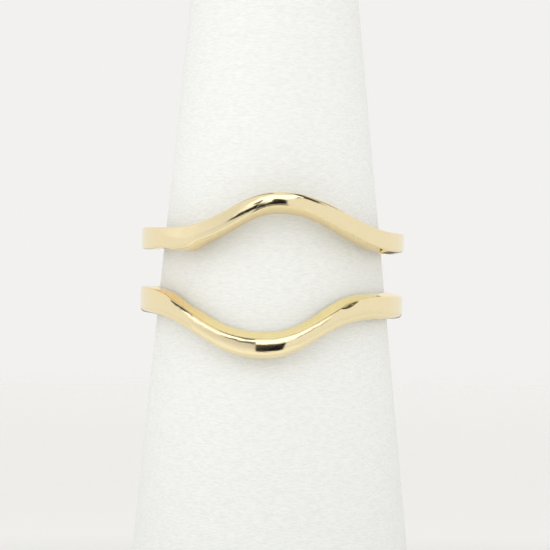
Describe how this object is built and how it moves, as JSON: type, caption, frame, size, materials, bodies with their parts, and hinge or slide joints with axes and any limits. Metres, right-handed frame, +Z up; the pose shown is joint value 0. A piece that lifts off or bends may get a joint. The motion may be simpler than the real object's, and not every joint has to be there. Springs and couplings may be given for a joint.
{
  "type": "ring guard enhancer on display cone",
  "caption": "Gold ring guard of slim contoured bands that bow apart round an eye-shaped opening, joined at the back, on a plain tapered display cone.",
  "frame": {"origin": "middle of the cone's flat base, on the surface that it stands on", "axes": "+Z up along the cone, -Y to the front, where the bands bow apart, +X to the right seen from the front"},
  "size_m": [0.021, 0.021, 0.055],
  "materials": {
    "gold": "polished yellow gold",
    "leatherette": "white leatherette with a fine grain"
  },
  "bodies": {
    "root": {"ring_guard": "gold", "display_cone": "leatherette"}
  },
  "joints": []
}
